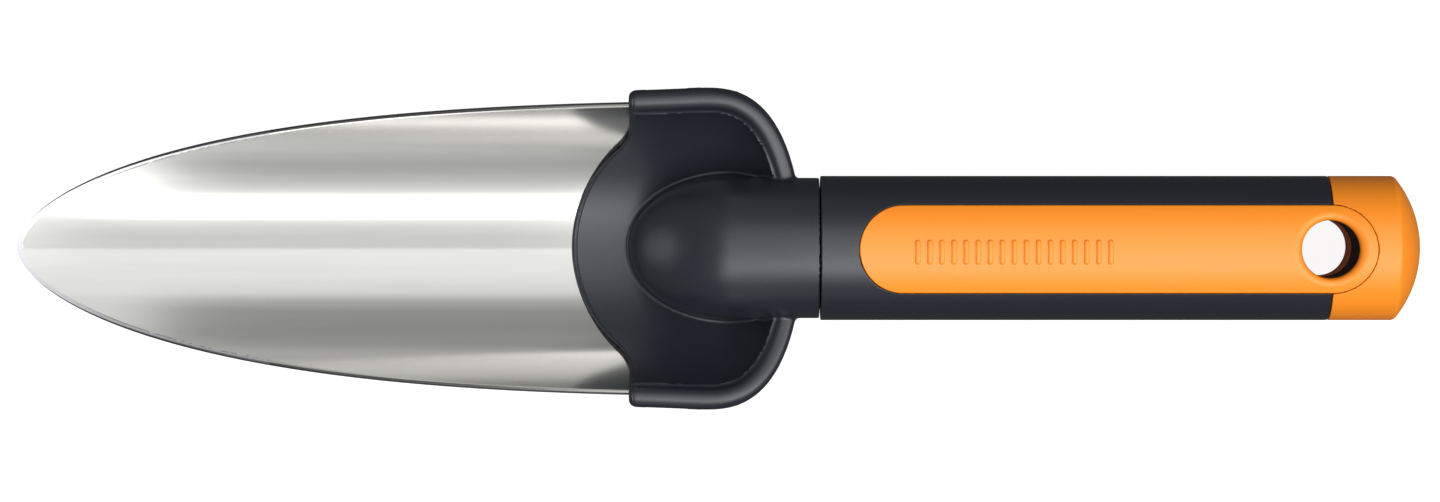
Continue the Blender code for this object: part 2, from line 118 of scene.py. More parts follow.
class Number:
    """A number inside a node tree; + - * / and ** on it add Math nodes."""

    def __init__(self, socket):
        self.socket = socket

    def of(self, operation, *others):
        """Another Math node, such as SINE, or MINIMUM with a second number."""
        return math_node(self, operation, self, *others)

    def clamped(self):
        """The same number, kept from 0 to 1."""
        self.socket.node.use_clamp = True
        return self


def math_node(number, operation, *values):
    node = add_node(number.socket.id_data, "ShaderNodeMath", dict(enumerate(values)),
                    operation=operation)
    return Number(node.outputs[0])


for sign, operation in (("add", "ADD"), ("sub", "SUBTRACT"), ("mul", "MULTIPLY"),
                        ("truediv", "DIVIDE"), ("pow", "POWER")):
    setattr(Number, f"__{sign}__", lambda a, b, how=operation: math_node(a, how, a, b))
    setattr(Number, f"__r{sign}__", lambda a, b, how=operation: math_node(a, how, b, a))


def parts_of(tree, vector):
    """The x, y and z of a vector, as three numbers."""
    node = add_node(tree, "ShaderNodeSeparateXYZ", {0: vector})
    return [Number(part) for part in node.outputs]


def point_from(tree, x=0.0, y=0.0, z=0.0):
    return add_node(tree, "ShaderNodeCombineXYZ", {0: x, 1: y, 2: z}).outputs[0]


def feed(node, name, value):
    """Link a number, a colour or a vector to a named input."""
    node.id_data.links.new(getattr(value, "socket", value), node.inputs[name])


print("node helpers:", add_node.__name__, parts_of.__name__, point_from.__name__, feed.__name__)

# %% [markdown]
# ## The table
# The tool lies on a plain pale table. A plane with a light, slightly glowing finish is enough:
# the glow keeps the shadows faint, as on a light table. Reflected in the tool, a white table
# would wash out its sides, so studios mask it with dark card; here the Light Path node makes
# the table dark for every ray but the camera's.

# %% Table
TABLE_HALF = 3.0
TABLE_DROP = -0.0002      # just under the tool, so that the two faces do not flicker
CARD_GREY, TABLE_GREY = 0.04, 0.25       # for reflections, and for the camera
CARD_GLOW, TABLE_GLOW = 0.03, 0.90

table_mesh = bpy.data.meshes.new("table")
table_mesh.from_pydata([(-TABLE_HALF, -TABLE_HALF, TABLE_DROP),
                        (TABLE_HALF, -TABLE_HALF, TABLE_DROP),
                        (TABLE_HALF, TABLE_HALF, TABLE_DROP),
                        (-TABLE_HALF, TABLE_HALF, TABLE_DROP)], [], [(0, 1, 2, 3)])
table = bpy.data.objects.new("table", table_mesh)
bpy.context.scene.collection.objects.link(table)

table_paint = bpy.data.materials.new("table_white")
table_paint.use_nodes = True
paint = table_paint.node_tree
table_shader = paint.nodes["Principled BSDF"]
seen = Number(add_node(paint, "ShaderNodeLightPath").outputs["Is Camera Ray"])
shade = add_node(paint, "ShaderNodeMix",
                 {0: seen, 6: (CARD_GREY, CARD_GREY, CARD_GREY, 1.0),
                  7: (TABLE_GREY, TABLE_GREY, TABLE_GREY, 1.0)}, data_type="RGBA")
feed(table_shader, "Base Color", shade.outputs[2])
feed(table_shader, "Emission Strength", seen * (TABLE_GLOW - CARD_GLOW) + CARD_GLOW)
table_shader.inputs["Emission Color"].default_value = (1.0, 1.0, 1.0, 1.0)
table_shader.inputs["Roughness"].default_value = 0.9
table_shader.inputs["Specular IOR Level"].default_value = 0.0
table_mesh.materials.append(table_paint)
print("table:", 2 * TABLE_HALF, "m wide")

# %% [markdown]
# ## The studio light
# A shiny trough shows its surroundings as long stripes, so the studio is part of the look. Real
# product studios hang white and grey panels along both sides of a tool. We could place many
# area lights; it is simpler to paint the surroundings into the World as bands: how bright it is
# depends on the angle about the tool's length, and other bands hang over the grip, over the
# blade, and over its point. The camera itself sees plain white.

# %% Studio light
# Each stop: the angle from straight up in degrees, + towards -Y, and the brightness there.
BLADE_STOPS = [
    (-90, 0.60), (-80, 0.58), (-74, 0.43), (-60, 0.38), (-46, 0.42), (-38, 0.62), (-32, 1.00),
    (-20, 1.17), (-1, 1.27), (0.5, 0.93), (9, 0.90), (15, 1.02), (20, 1.25), (24, 2.60),
    (36, 2.60), (41, 1.25), (44, 1.00), (50, 0.79), (57, 0.64), (64, 0.58), (76, 0.75),
    (90, 0.80)]
GRIP_STOPS = [
    (-90, 0.02), (-76, 0.04), (-60, 0.12), (-43, 0.34), (-30, 0.90), (-6, 1.80), (8, 2.25),
    (18, 3.10), (30, 3.70), (42, 2.20), (52, 0.60), (64, 0.15), (80, 0.06), (90, 0.04)]
FADE_STOPS = [
    (-90, 0.90), (-50, 1.05), (-30, 1.15), (-1, 1.26), (0.5, 0.93), (9, 0.90), (15, 1.04),
    (20, 1.30), (24, 2.60), (50, 2.60), (70, 1.60), (90, 1.20)]
TIP_STOPS = [
    (-90, 0.90), (-40, 1.10), (-1, 1.26), (0.5, 0.93), (24, 0.94), (40, 1.20), (90, 1.30)]
BRIGHTEST = 4.0
CARD, END_PANEL = (0.05, 0.05, 0.05, 1.0), (0.40, 0.40, 0.40, 1.0)


def band_ramp(tree, factor, stops):
    """A colour ramp through (angle, brightness) stops, straight from each to the next."""
    node = add_node(tree, "ShaderNodeValToRGB", {"Fac": factor})
    node.color_ramp.interpolation = "LINEAR"
    points = node.color_ramp.elements
    while len(points) < len(stops):
        points.new(0.5)
    for point, (angle, level) in zip(points, stops):
        grey = level / BRIGHTEST
        point.position = (angle + 90.0) / 180.0
        point.color = (grey, grey, grey, 1.0)
    return node.outputs["Color"]


world = bpy.data.worlds.new("studio")
world.use_nodes = True
bpy.context.scene.world = world
sky = world.node_tree
sky.nodes.clear()
direction = add_node(sky, "ShaderNodeTexCoord").outputs["Generated"]
towards_x, towards_y, towards_z = parts_of(sky, direction)
angle = (towards_y * -1.0).of("ARCTAN2", towards_z)
turn = (angle / math.pi + 0.5).clamped()


def past(start, end):
    """0 before one place along X and 1 past another, with a soft step between."""
    return add_node(sky, "ShaderNodeMapRange",
                    {"Value": towards_x, "From Min": start, "From Max": end},
                    interpolation_type="SMOOTHSTEP").outputs[0]


bands = band_ramp(sky, turn, BLADE_STOPS)
grip_bands = band_ramp(sky, turn, GRIP_STOPS)
# A level spot mirrors the sky above it, so these steps follow the tool from grip to point.
for mask, other in ((past(-0.022, -0.004), grip_bands),
                    (past(-0.096, -0.105), band_ramp(sky, turn, FADE_STOPS)),
                    (past(-0.108, -0.116), band_ramp(sky, turn, TIP_STOPS)),
                    (past(-0.125, -0.135), grip_bands),
                    (past(-0.26, -0.38), CARD),
                    (past(-0.93, -0.99), END_PANEL)):
    bands = add_node(sky, "ShaderNodeMix", {0: mask, 6: bands, 7: other},
                     data_type="RGBA").outputs[2]
glow = add_node(sky, "ShaderNodeBackground", {"Color": bands, "Strength": BRIGHTEST})
plain = add_node(sky, "ShaderNodeBackground",
                 {"Color": (1.0, 1.0, 1.0, 1.0), "Strength": 1.0})
straight_on = add_node(sky, "ShaderNodeLightPath").outputs["Is Camera Ray"]
either = add_node(sky, "ShaderNodeMixShader",
                  {0: straight_on, 1: glow.outputs[0], 2: plain.outputs[0]})
add_node(sky, "ShaderNodeOutputWorld", {"Surface": either.outputs[0]})
bpy.context.scene.view_settings.view_transform = "Standard"

# A wide soft lamp overhead lights what is not glossy; reflections do not show it.
top_light = bpy.data.lights.new("top_light", "AREA")
top_light.shape = "SQUARE"
top_light.size = 2.4
top_light.energy = 12.0
top_lamp = bpy.data.objects.new("top_light", top_light)
top_lamp.location = (0.0, 0.0, 1.7)
top_lamp.visible_glossy = False
bpy.context.scene.collection.objects.link(top_lamp)
print("studio bands:", len(BLADE_STOPS), "over the blade,", len(GRIP_STOPS), "over the grip")

# %% [markdown]
# ## Shared surface effects
# Three small effects make most of the look, so each is a node group that is built once and used
# with other values in each finish: the fine pimples that a spark-eroded mould leaves on
# plastic, the faint lines that rolling leaves on steel sheet, and the soft patches of hands and
# handling. Each reads Object coordinates, which are metres here, so a scale of 3000 means
# pimples a third of a millimetre apart.

# %% Effect groups
def new_group(name, inputs, outputs):
    """A shader node group with named number inputs and outputs."""
    group = bpy.data.node_groups.new(name, "ShaderNodeTree")
    for label, default in inputs.items():
        socket = group.interface.new_socket(label, in_out="INPUT",
                                            socket_type="NodeSocketFloat")
        socket.default_value = default
    for label in outputs:
        group.interface.new_socket(label, in_out="OUTPUT", socket_type="NodeSocketFloat")
    return group, group.nodes.new("NodeGroupInput").outputs


def object_place(tree):
    return add_node(tree, "ShaderNodeTexCoord").outputs["Object"]


def noise(tree, place, scale, detail=2.0, roughness=0.5):
    node = add_node(tree, "ShaderNodeTexNoise",
                    {"Vector": place, "Scale": scale, "Detail": detail,
                     "Roughness": roughness})
    return Number(node.outputs["Fac"])


def build_mould_grain():
    group, given = new_group("mould_grain", {"Pimples per Metre": 3000.0}, ["Height", "Glint"])
    place = object_place(group)
    cells = add_node(group, "ShaderNodeTexVoronoi",
                     {"Vector": place, "Scale": given["Pimples per Metre"]},
                     feature="SMOOTH_F1").outputs["Distance"]
    fine = noise(group, place, given["Pimples per Metre"], 3.0, 0.6)
    add_node(group, "NodeGroupOutput",
             # Glint is a painted glint: sparse specks that a finish uses to lighten its colour.
             {"Height": Number(cells) * -0.6 + fine, "Glint": fine ** 4.0})
    return group


def build_rolled_lines():
    """Lines along X: coordinates are squeezed along X, so the noise is drawn out."""
    group, given = new_group("rolled_lines", {"Lines per Metre": 2500.0, "Drawn Out": 0.06},
                             ["Height", "Streak"])
    stretch = point_from(group, given["Drawn Out"], 1.0, 1.0)
    place = add_node(group, "ShaderNodeVectorMath", {0: object_place(group), 1: stretch},
                     operation="MULTIPLY").outputs[0]
    height = noise(group, place, given["Lines per Metre"], 4.0, 0.65)
    streak = noise(group, place, Number(given["Lines per Metre"]) * 0.12, 3.0)
    add_node(group, "NodeGroupOutput", {"Height": height, "Streak": streak})
    return group


def build_handling():
    group, given = new_group("handling", {"Patches per Metre": 45.0, "Least": 0.0,
                                          "Most": 1.0}, ["Amount"])
    cloud = noise(group, object_place(group), given["Patches per Metre"], 4.0, 0.6)
    amount = add_node(group, "ShaderNodeMapRange",
                      {"Value": cloud, "From Min": 0.3, "From Max": 0.7,
                       "To Min": given["Least"], "To Max": given["Most"]})
    add_node(group, "NodeGroupOutput", {"Amount": amount.outputs[0]})
    return group


MOULD_GRAIN, ROLLED_LINES, HANDLING = (build_mould_grain(), build_rolled_lines(),
                                       build_handling())
print("effects:", MOULD_GRAIN.name, ROLLED_LINES.name, HANDLING.name)

# %% [markdown]
# ## Finishes
# Every finish is one Principled BSDF. Plastic takes its colour from the pigment and its sheen
# from the mould's grain, so the grain drives both a Bump and a painted glint: sparse specks
# that lighten the colour where the grain would sparkle. Numbers that are the same all over a
# piece are set on the shader's own sockets; only what changes over the surface comes from a
# group.

# %% Finish helpers
def new_finish(name, roughness, metallic=0.0):
    material = bpy.data.materials.new(name)
    material.use_nodes = True
    shader = material.node_tree.nodes["Principled BSDF"]
    shader.inputs["Roughness"].default_value = roughness
    shader.inputs["Metallic"].default_value = metallic
    return material, material.node_tree, shader


def effect(tree, group, **values):
    """Place an effect group; a name like Lines_per_Metre is the input Lines per Metre."""
    inputs = {label.replace("_", " "): value for label, value in values.items()}
    return add_node(tree, "ShaderNodeGroup", node_tree=group, inputs=inputs)


def tint(tree, amount, low, high):
    """A colour between two colours, by an amount from 0 to 1."""
    node = add_node(tree, "ShaderNodeMix", {0: amount, 6: (*low, 1.0), 7: (*high, 1.0)},
                    data_type="RGBA", clamp_factor=True)
    return node.outputs[2]


def stored_on_mesh(tree, name):
    return Number(add_node(tree, "ShaderNodeAttribute", attribute_name=name).outputs["Fac"])


def bump(tree, height, depth, strength, normal=None):
    """Depth is the real height of the relief, in metres."""
    inputs = {"Height": height, "Distance": depth, "Strength": strength}
    if normal is not None:
        inputs["Normal"] = normal
    return add_node(tree, "ShaderNodeBump", inputs).outputs["Normal"]


LINE_FROM_EDGE, LINE_WIDTH, LINE_DEPTH = 1.1 * MM, 0.3 * MM, 0.12 * MM


def moulded_plastic(name, dark, light, roughness, grain, relief, sheen_level):
    """Pigmented plastic with the mould's grain, a painted glint from that grain, and faint
    handling patches.
    """
    material, tree, shader = new_finish(name, roughness)
    skin = effect(tree, MOULD_GRAIN, Pimples_per_Metre=grain)
    hands = effect(tree, HANDLING, Least=roughness - 0.03, Most=roughness + 0.03)
    # Painted glint: the grain's specks lighten the base colour.
    feed(shader, "Base Color", tint(tree, skin.outputs["Glint"], dark, light))
    feed(shader, "Roughness", hands.outputs["Amount"])
    # A fine line runs round the head's front; its mesh carries the distance to that edge.
    beside = (stored_on_mesh(tree, "front_edge") + LINE_FROM_EDGE).of("ABSOLUTE")
    groove = add_node(tree, "ShaderNodeMapRange",
                      {"Value": beside, "From Min": 0.0, "From Max": LINE_WIDTH},
                      interpolation_type="SMOOTHSTEP").outputs[0]
    lined = bump(tree, groove, LINE_DEPTH, 1.0)
    feed(shader, "Normal", bump(tree, skin.outputs["Height"], relief, 0.6, lined))
    shader.inputs["Specular IOR Level"].default_value = sheen_level
    return material


print("the line round the head's front is", LINE_DEPTH / MM, "mm deep")

# %% [markdown]
# ## The steel
# Rolled stainless is nearly a mirror, so what tells it from chrome is small: fine lines along
# the sheet, a warmer tone in streaks, side walls rubbed a little dull, a ground bevel at the
# point, and a duller rim that is painted dark, a painted reflection of the dark surroundings
# that the edge faces. A picture of steel would fix all of these in one place. We read two
# masks that the blade's own mesh carries instead, so they follow its edge.

# %% Steel
STEEL_LOW, STEEL_HIGH = (0.61, 0.608, 0.585), (0.67, 0.668, 0.645)
# The second colour is painted shade: the rim's dark reflection put into the steel's colour.
GROUND_STEEL, PAINTED_DARK_RIM = (0.66, 0.66, 0.69), (0.10, 0.10, 0.10)
MIRROR_DULL = 0.055       # roughness of the sheet; the next three come on top of it
GROUND_DULL, SHEARED_DULL, WALL_DULL = 0.24, 0.40, 0.11
WALL_FROM, WALL_TO = 20.0 * MM, 28.0 * MM


def build_satin_steel():
    """Bright rolled stainless; the worked edges are duller and the rim carries a painted dark
    reflection, by the mesh's own masks.
    """
    material, tree, shader = new_finish("satin_steel", MIRROR_DULL, 1.0)
    rolled = effect(tree, ROLLED_LINES, Lines_per_Metre=2600.0, Drawn_Out=0.08)
    hands = effect(tree, HANDLING, Patches_per_Metre=30.0, Least=0.0, Most=0.02)
    ground = stored_on_mesh(tree, "ground")
    metal = tint(tree, rolled.outputs["Streak"], STEEL_LOW, STEEL_HIGH)
    edge = add_node(tree, "ShaderNodeMix", {0: ground, 6: metal, 7: (*GROUND_STEEL, 1.0)},
                    data_type="RGBA").outputs[2]
    # The rim mask paints the rim dark as a painted reflection of dark surroundings, and also
    # dulls the steel.
    sheared = add_node(tree, "ShaderNodeMapRange",
                       {"Value": stored_on_mesh(tree, "rim_shade_and_dull_mask"), "From Min": 0.35,
                        "From Max": 0.6}, interpolation_type="SMOOTHSTEP").outputs[0]
    shown = add_node(tree, "ShaderNodeMix", {0: sheared, 6: edge, 7: (*PAINTED_DARK_RIM, 1.0)},
                     data_type="RGBA").outputs[2]
    feed(shader, "Base Color", shown)
    aside = parts_of(tree, object_place(tree))[1].of("ABSOLUTE")
    rubbed = add_node(tree, "ShaderNodeMapRange",
                      {"Value": aside, "From Min": WALL_FROM, "From Max": WALL_TO,
                       "To Max": WALL_DULL}, interpolation_type="SMOOTHSTEP").outputs[0]
    dull = ground * GROUND_DULL + MIRROR_DULL + Number(sheared) * SHEARED_DULL + rubbed
    feed(shader, "Roughness", dull + hands.outputs["Amount"])
    feed(shader, "Normal", bump(tree, rolled.outputs["Height"], 0.000004, 0.35))
    return material


def build_pin_steel():
    material, tree, shader = new_finish("pin_steel", 0.32, 1.0)
    rolled = effect(tree, ROLLED_LINES, Lines_per_Metre=6000.0, Drawn_Out=1.0)
    colour = tint(tree, rolled.outputs["Streak"], (0.50, 0.51, 0.52), (0.60, 0.61, 0.62))
    feed(shader, "Base Color", colour)
    feed(shader, "Normal", bump(tree, rolled.outputs["Height"], 0.00001, 0.3))
    return material


satin_steel = build_satin_steel()
pin_steel = build_pin_steel()
print("steels:", satin_steel.name, pin_steel.name)

# %% Plastics
black_nylon = moulded_plastic("black_nylon", (0.0135, 0.0160, 0.0230), (0.026, 0.030, 0.038),
                              0.32, 3000.0, 0.00003, 0.7)
core_nylon = moulded_plastic("core_nylon", (0.005, 0.005, 0.006), (0.010, 0.010, 0.012),
                             0.50, 2000.0, 0.00003, 0.4)
orange_soft = moulded_plastic("orange_soft", (0.93, 0.268, 0.012), (0.97, 0.288, 0.018),
                              0.40, 3400.0, 0.000014, 0.6)
print("plastics:", black_nylon.name, core_nylon.name, orange_soft.name)

# %% [markdown]
# ## The blade: a sheet that follows a rule
# The blade is stamped from stainless sheet and bent to one radius, and its outline is one
# smooth curve that closes at the tip. A piece that follows a rule like this suits Geometry
# Nodes: a flat grid is laid on the bent sheet by a formula, then extruded to the sheet's
# thickness. The edge is ground to a narrow bevel, widest at the very tip.

# %% Geometry Nodes helpers
def new_tree(name, sizes):
    """A node group for a Geometry Nodes modifier, with one named input for each size."""
    tree = bpy.data.node_groups.new(name, "GeometryNodeTree")
    tree.is_modifier = True
    face = tree.interface
    face.new_socket("Geometry", in_out="OUTPUT", socket_type="NodeSocketGeometry")
    for label, (kind, _) in sizes.items():
        face.new_socket(label, in_out="INPUT", socket_type=kind)
    given = tree.nodes.new("NodeGroupInput").outputs
    return tree, {label: Number(given[label]) for label in sizes}


def own_place(tree):
    """The x, y and z of each point of the mesh that the tree is working on."""
    return parts_of(tree, add_node(tree, "GeometryNodeInputPosition").outputs[0])


def make_from_tree(name, tree, sizes, finish):
    """Run a Geometry Nodes tree on an empty object and keep the result as a plain mesh."""
    obj = bpy.data.objects.new(name, bpy.data.meshes.new(name))
    bpy.context.scene.collection.objects.link(obj)
    modifier = obj.modifiers.new("shape", "NODES")
    modifier.node_group = tree
    places = {item.name: item.identifier for item in tree.interface.items_tree
              if item.in_out == "INPUT"}
    for label, (_, value) in sizes.items():
        modifier[places[label]] = value
    bpy.context.view_layer.update()
    shown = obj.evaluated_get(bpy.context.evaluated_depsgraph_get())
    mesh = bpy.data.meshes.new_from_object(shown)
    obj.modifiers.clear()
    obj.data = mesh
    mesh.name = name
    mesh.materials.clear()
    mesh.materials.append(finish)
    return obj


def finish_tree(tree, geometry, material):
    real = add_node(tree, "GeometryNodeRealizeInstances", {"Geometry": geometry}).outputs[0]
    done = add_node(tree, "GeometryNodeSetMaterial", {"Geometry": real, "Material": material})
    add_node(tree, "NodeGroupOutput", {"Geometry": done.outputs[0]})


FLOAT, WHOLE, FINISH = "NodeSocketFloat", "NodeSocketInt", "NodeSocketMaterial"
print("a tree's sizes are one of", FLOAT, WHOLE, FINISH)

# %% Blade tree
OUTLINE_SPAN, OUTLINE_POWER, OUTLINE_ROUNDING = 207.1, 3.22, 0.558
BLADE_SIZES = {
    "Tip": (FLOAT, TIP_X * MM), "Root": (FLOAT, ROOT_X * MM),
    "Half Width": (FLOAT, BLADE_HALF * MM), "Outline Span": (FLOAT, OUTLINE_SPAN * MM),
    "Outer Radius": (FLOAT, SHEET_OUT_R * MM), "Sheet": (FLOAT, 1.2 * MM),
    "Trough Axis": (FLOAT, TROUGH_Z * MM),
    "Bevel Width": (FLOAT, 1.4 * MM), "Bevel Depth": (FLOAT, 0.08 * MM),
    "Bevel Reach": (FLOAT, 60.0 * MM), "Deburr": (FLOAT, 0.22 * MM),
    "Stations": (WHOLE, 261), "Strips": (WHOLE, 101), "Finish": (FINISH, satin_steel),
}
BEVEL_SHARE = 0.94        # the strips past this share of the half width are the bevel
RIM_SHARE = 0.999         # and past this one, the rim itself
DEBURR_DEPTH = 0.7        # depth of the broken corner, as a share of its width
RIM_SHADE_AT_TIP, RIM_SHADE_GROWTH = 0.2, 25.0   # the rim's painted dark reflection and duller steel, and its growth per metre
BUNCHING = 1.8            # above 1, the stations stand closer together near the tip
WELD = 0.002 * MM
CREASE = math.radians(12)


def outline_half(x, size):
    """Half the blade's width at a place along it."""
    along = ((x - size["Tip"]) / size["Outline Span"]).clamped()
    return size["Half Width"] * (1.0 - (1.0 - along) ** OUTLINE_POWER) ** OUTLINE_ROUNDING


def outline_x(half, size):
    """The outline's place along the blade for a half width: the rule turned round."""
    share = (half / size["Half Width"]).clamped()
    closing = 1.0 - share ** (1.0 / OUTLINE_ROUNDING)
    return size["Tip"] + (1.0 - closing ** (1.0 / OUTLINE_POWER)) * size["Outline Span"]


def rim_angle(x, size):
    return (outline_half(x, size) / size["Outer Radius"]).of("ARCSINE")


def sheet_point(tree, x, angle, radius, size):
    """A point on the bent sheet, from its place along, its angle and its radius."""
    height = size["Trough Axis"] - radius * angle.of("COSINE")
    return point_from(tree, x, radius * angle.of("SINE"), height)


def strip_angle(x, across, size):
    """A strip's angle about the trough's axis, and how far it lies into the bevel."""
    whole = rim_angle(x, size)
    deburred = whole - size["Deburr"] / size["Outer Radius"]
    inner = deburred.of("MINIMUM", rim_angle(x - size["Bevel Width"], size))
    inner = inner.of("MAXIMUM", 0.0)
    share = across.of("ABSOLUTE")
    past_flat = ((share - BEVEL_SHARE) / (1.0 - BEVEL_SHARE)).clamped()
    turned = inner * (share / BEVEL_SHARE).clamped() + (whole - inner) * past_flat
    return across.of("SIGN") * turned, past_flat


def edge_work(x, angle, past_flat, size):
    """How deep the inner face is worked away at the edge, and the mask of the ground part."""
    half_here = size["Outer Radius"] * angle.of("ABSOLUTE").of("SINE")
    from_edge = x - outline_x(half_here, size)
    fading = (1.0 - (x - size["Tip"]) / size["Bevel Reach"]).clamped()
    ground = (1.0 - from_edge / size["Bevel Width"]).clamped() * fading
    broken = past_flat * (1.0 - fading) * (size["Deburr"] * DEBURR_DEPTH)
    return ground * size["Bevel Depth"] + broken, ground.of("GREATER_THAN", 0.0)


def store(tree, geometry, name, value, **more):
    """Keep a number on every point of a mesh, for a material to read."""
    return add_node(tree, "GeometryNodeStoreNamedAttribute",
                    {"Geometry": geometry, "Name": name, "Value": value, **more},
                    data_type="FLOAT", domain="POINT").outputs[0]


def build_blade_tree():
    tree, size = new_tree("bent_blade", BLADE_SIZES)
    grid = add_node(tree, "GeometryNodeMeshGrid",
                    {"Size X": 1.0, "Size Y": 2.0, "Vertices X": size["Stations"],
                     "Vertices Y": size["Strips"]}).outputs["Mesh"]
    grid_x, across, _ = own_place(tree)
    along = (grid_x + 0.5).clamped() ** BUNCHING
    x = size["Tip"] + along * (size["Root"] - size["Tip"])
    angle, past_flat = strip_angle(x, across, size)
    depth, ground = edge_work(x, angle, past_flat, size)
    on_rim = across.of("ABSOLUTE").of("GREATER_THAN", RIM_SHARE)
    # The rim mask: a painted dark reflection and duller steel, growing from the tip.
    sheared = on_rim * ((x - size["Tip"]) * RIM_SHADE_GROWTH + RIM_SHADE_AT_TIP).clamped()

    kept = add_node(tree, "GeometryNodeCaptureAttribute", {"Geometry": grid})
    for label, value in (("x", x), ("angle", angle), ("depth", depth), ("ground", ground),
                         ("sheared", sheared)):
        kept.capture_items.new("FLOAT", label)
        feed(kept, label, value)
    held = {socket.name: Number(socket) for socket in kept.outputs}
    outer_point = sheet_point(tree, held["x"], held["angle"], size["Outer Radius"], size)
    lower = add_node(tree, "GeometryNodeSetPosition",
                     {"Geometry": held["Geometry"], "Position": outer_point})
    lower = store(tree, lower.outputs[0], "rim_shade_and_dull_mask", held["sheared"])
    raised = add_node(tree, "GeometryNodeExtrudeMesh",
                      {"Mesh": lower, "Offset Scale": size["Sheet"], "Individual": False})
    inner_radius = size["Outer Radius"] - size["Sheet"] + held["depth"]
    inner_point = sheet_point(tree, held["x"], held["angle"], inner_radius, size)
    upper = add_node(tree, "GeometryNodeSetPosition",
                     {"Geometry": raised.outputs["Mesh"], "Selection": raised.outputs["Top"],
                      "Position": inner_point})
    upper = store(tree, upper.outputs[0], "rim_shade_and_dull_mask", 0.0, Selection=raised.outputs["Top"])
    under = add_node(tree, "GeometryNodeFlipFaces", {"Mesh": lower})
    both = add_node(tree, "GeometryNodeJoinGeometry")
    tree.links.new(upper, both.inputs[0])
    tree.links.new(under.outputs[0], both.inputs[0])
    closed = add_node(tree, "GeometryNodeMergeByDistance",
                      {"Geometry": both.outputs[0], "Distance": WELD})
    masked = store(tree, closed.outputs[0], "ground", held["ground"])
    smooth = add_node(tree, "GeometryNodeSetShadeSmooth", {"Geometry": masked})
    finish_tree(tree, smooth.outputs[0], size["Finish"])
    return tree


blade = make_from_tree("blade_sheet", build_blade_tree(), BLADE_SIZES, satin_steel)
blade.data.set_sharp_from_angle(angle=CREASE)
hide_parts("blade")
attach(blade, "root")
print("blade:", len(blade.data.polygons), "faces")

# %% [markdown]
# ## Moulded pieces: a net over a field
# The head, sleeve, inlays, core and cap are mouldings: every corner is rounded and every joint
# between two shapes has a small fillet. Booleans and bevels often break on shapes like these.
# A field is sturdier: a rule that says, for any point, how far it is from the surface, negative
# inside. Joining two shapes is then one small sum that leaves a fillet of the radius we ask
# for. A net of faces is laid where the field changes sign, and its points are slid onto the
# surface exactly.

# %% Sums of fields
def fillet_union(a, b, radius):
    """Both shapes, with a hollow fillet where they meet."""
    reach = np.hypot(np.maximum(radius - a, 0.0), np.maximum(radius - b, 0.0))
    return np.maximum(radius, np.minimum(a, b)) - reach


def round_common(a, b, radius):
    """What both shapes share, with a rounded edge."""
    reach = np.hypot(np.maximum(radius + a, 0.0), np.maximum(radius + b, 0.0))
    return np.minimum(-radius, np.maximum(a, b)) + reach


def radius_about_x(y, z, axis_z=AXIS_Z):
    return np.hypot(y, z - axis_z)


def between(value, start, end):
    """A slab across one axis, from one place to another."""
    return np.abs(value - (start + end) / 2) - (end - start) / 2


inside_corner = float(fillet_union(np.float64(0.2), np.float64(0.2), 1.0))
print("0.2 mm off both faces, a 1 mm fillet is", round(-inside_corner, 2), "mm above")

# %% The net
def straight(points):
    return points


def slope_of(field, points):
    """Which way the field grows at each point, by small steps each way."""
    step = 0.004
    slope = np.empty_like(points)
    for axis in range(3):
        shift = np.zeros(3)
        shift[axis] = step
        slope[:, axis] = field(*(points + shift).T) - field(*(points - shift).T)
    return slope / (2.0 * step)


def slide_onto(field, points, rounds=5):
    """Move points along the slope until the field is zero there."""
    for _ in range(rounds):
        slope = slope_of(field, points)
        steep = np.maximum((slope ** 2).sum(1), 0.05)
        move = (field(*points.T) / steep)[:, None] * slope
        points = points - np.clip(move, -0.3, 0.3)
    return points


def net_points(value, active, grid):
    """One point in each cell that the surface passes: the mean of its edge crossings."""
    cells = np.argwhere(active)
    total, hits = np.zeros((len(cells), 3)), np.zeros(len(cells))
    for axis in range(3):
        for corner in itertools.product((0, 1), repeat=2):
            start = cells.copy()
            start[:, (axis + 1) % 3] += corner[0]
            start[:, (axis + 2) % 3] += corner[1]
            end = start.copy()
            end[:, axis] += 1
            a, b = value[tuple(start.T)], value[tuple(end.T)]
            crossed = (a < 0.0) != (b < 0.0)
            share = np.where(crossed, a / np.where(crossed, a - b, 1.0), 0.0)
            spot = np.stack([grid[k][start[:, k]] for k in range(3)], axis=1)
            spot[:, axis] += share * (grid[axis][end[:, axis]] - grid[axis][start[:, axis]])
            total[crossed] += spot[crossed]
            hits += crossed
    return total / hits[:, None]


def net_faces(inside, ids, wrap):
    """A quad round every grid edge that the surface crosses, facing outwards."""
    faces = []
    for axis in range(3):
        u, v = (axis + 1) % 3, (axis + 2) % 3
        low = np.take(inside, range(inside.shape[axis] - 1), axis)
        high = np.take(inside, range(1, inside.shape[axis]), axis)
        edges = np.argwhere(low != high)
        for side in (u, v):
            first = 0 if (wrap and side == 1) else 1
            edges = edges[(edges[:, side] >= first)
                          & (edges[:, side] <= inside.shape[side] - 2)]
        corners = []
        for back_u, back_v in ((0, 0), (1, 0), (1, 1), (0, 1)):
            cell = edges.copy()
            cell[:, u] -= back_u
            cell[:, v] -= back_v
            corners.append(ids[tuple(cell.T)])
        quads = np.stack(corners, axis=1)
        solid_low = low[tuple(edges.T)]
        faces.append(np.where(solid_low[:, None], quads, quads[:, ::-1]))
    return np.concatenate(faces)


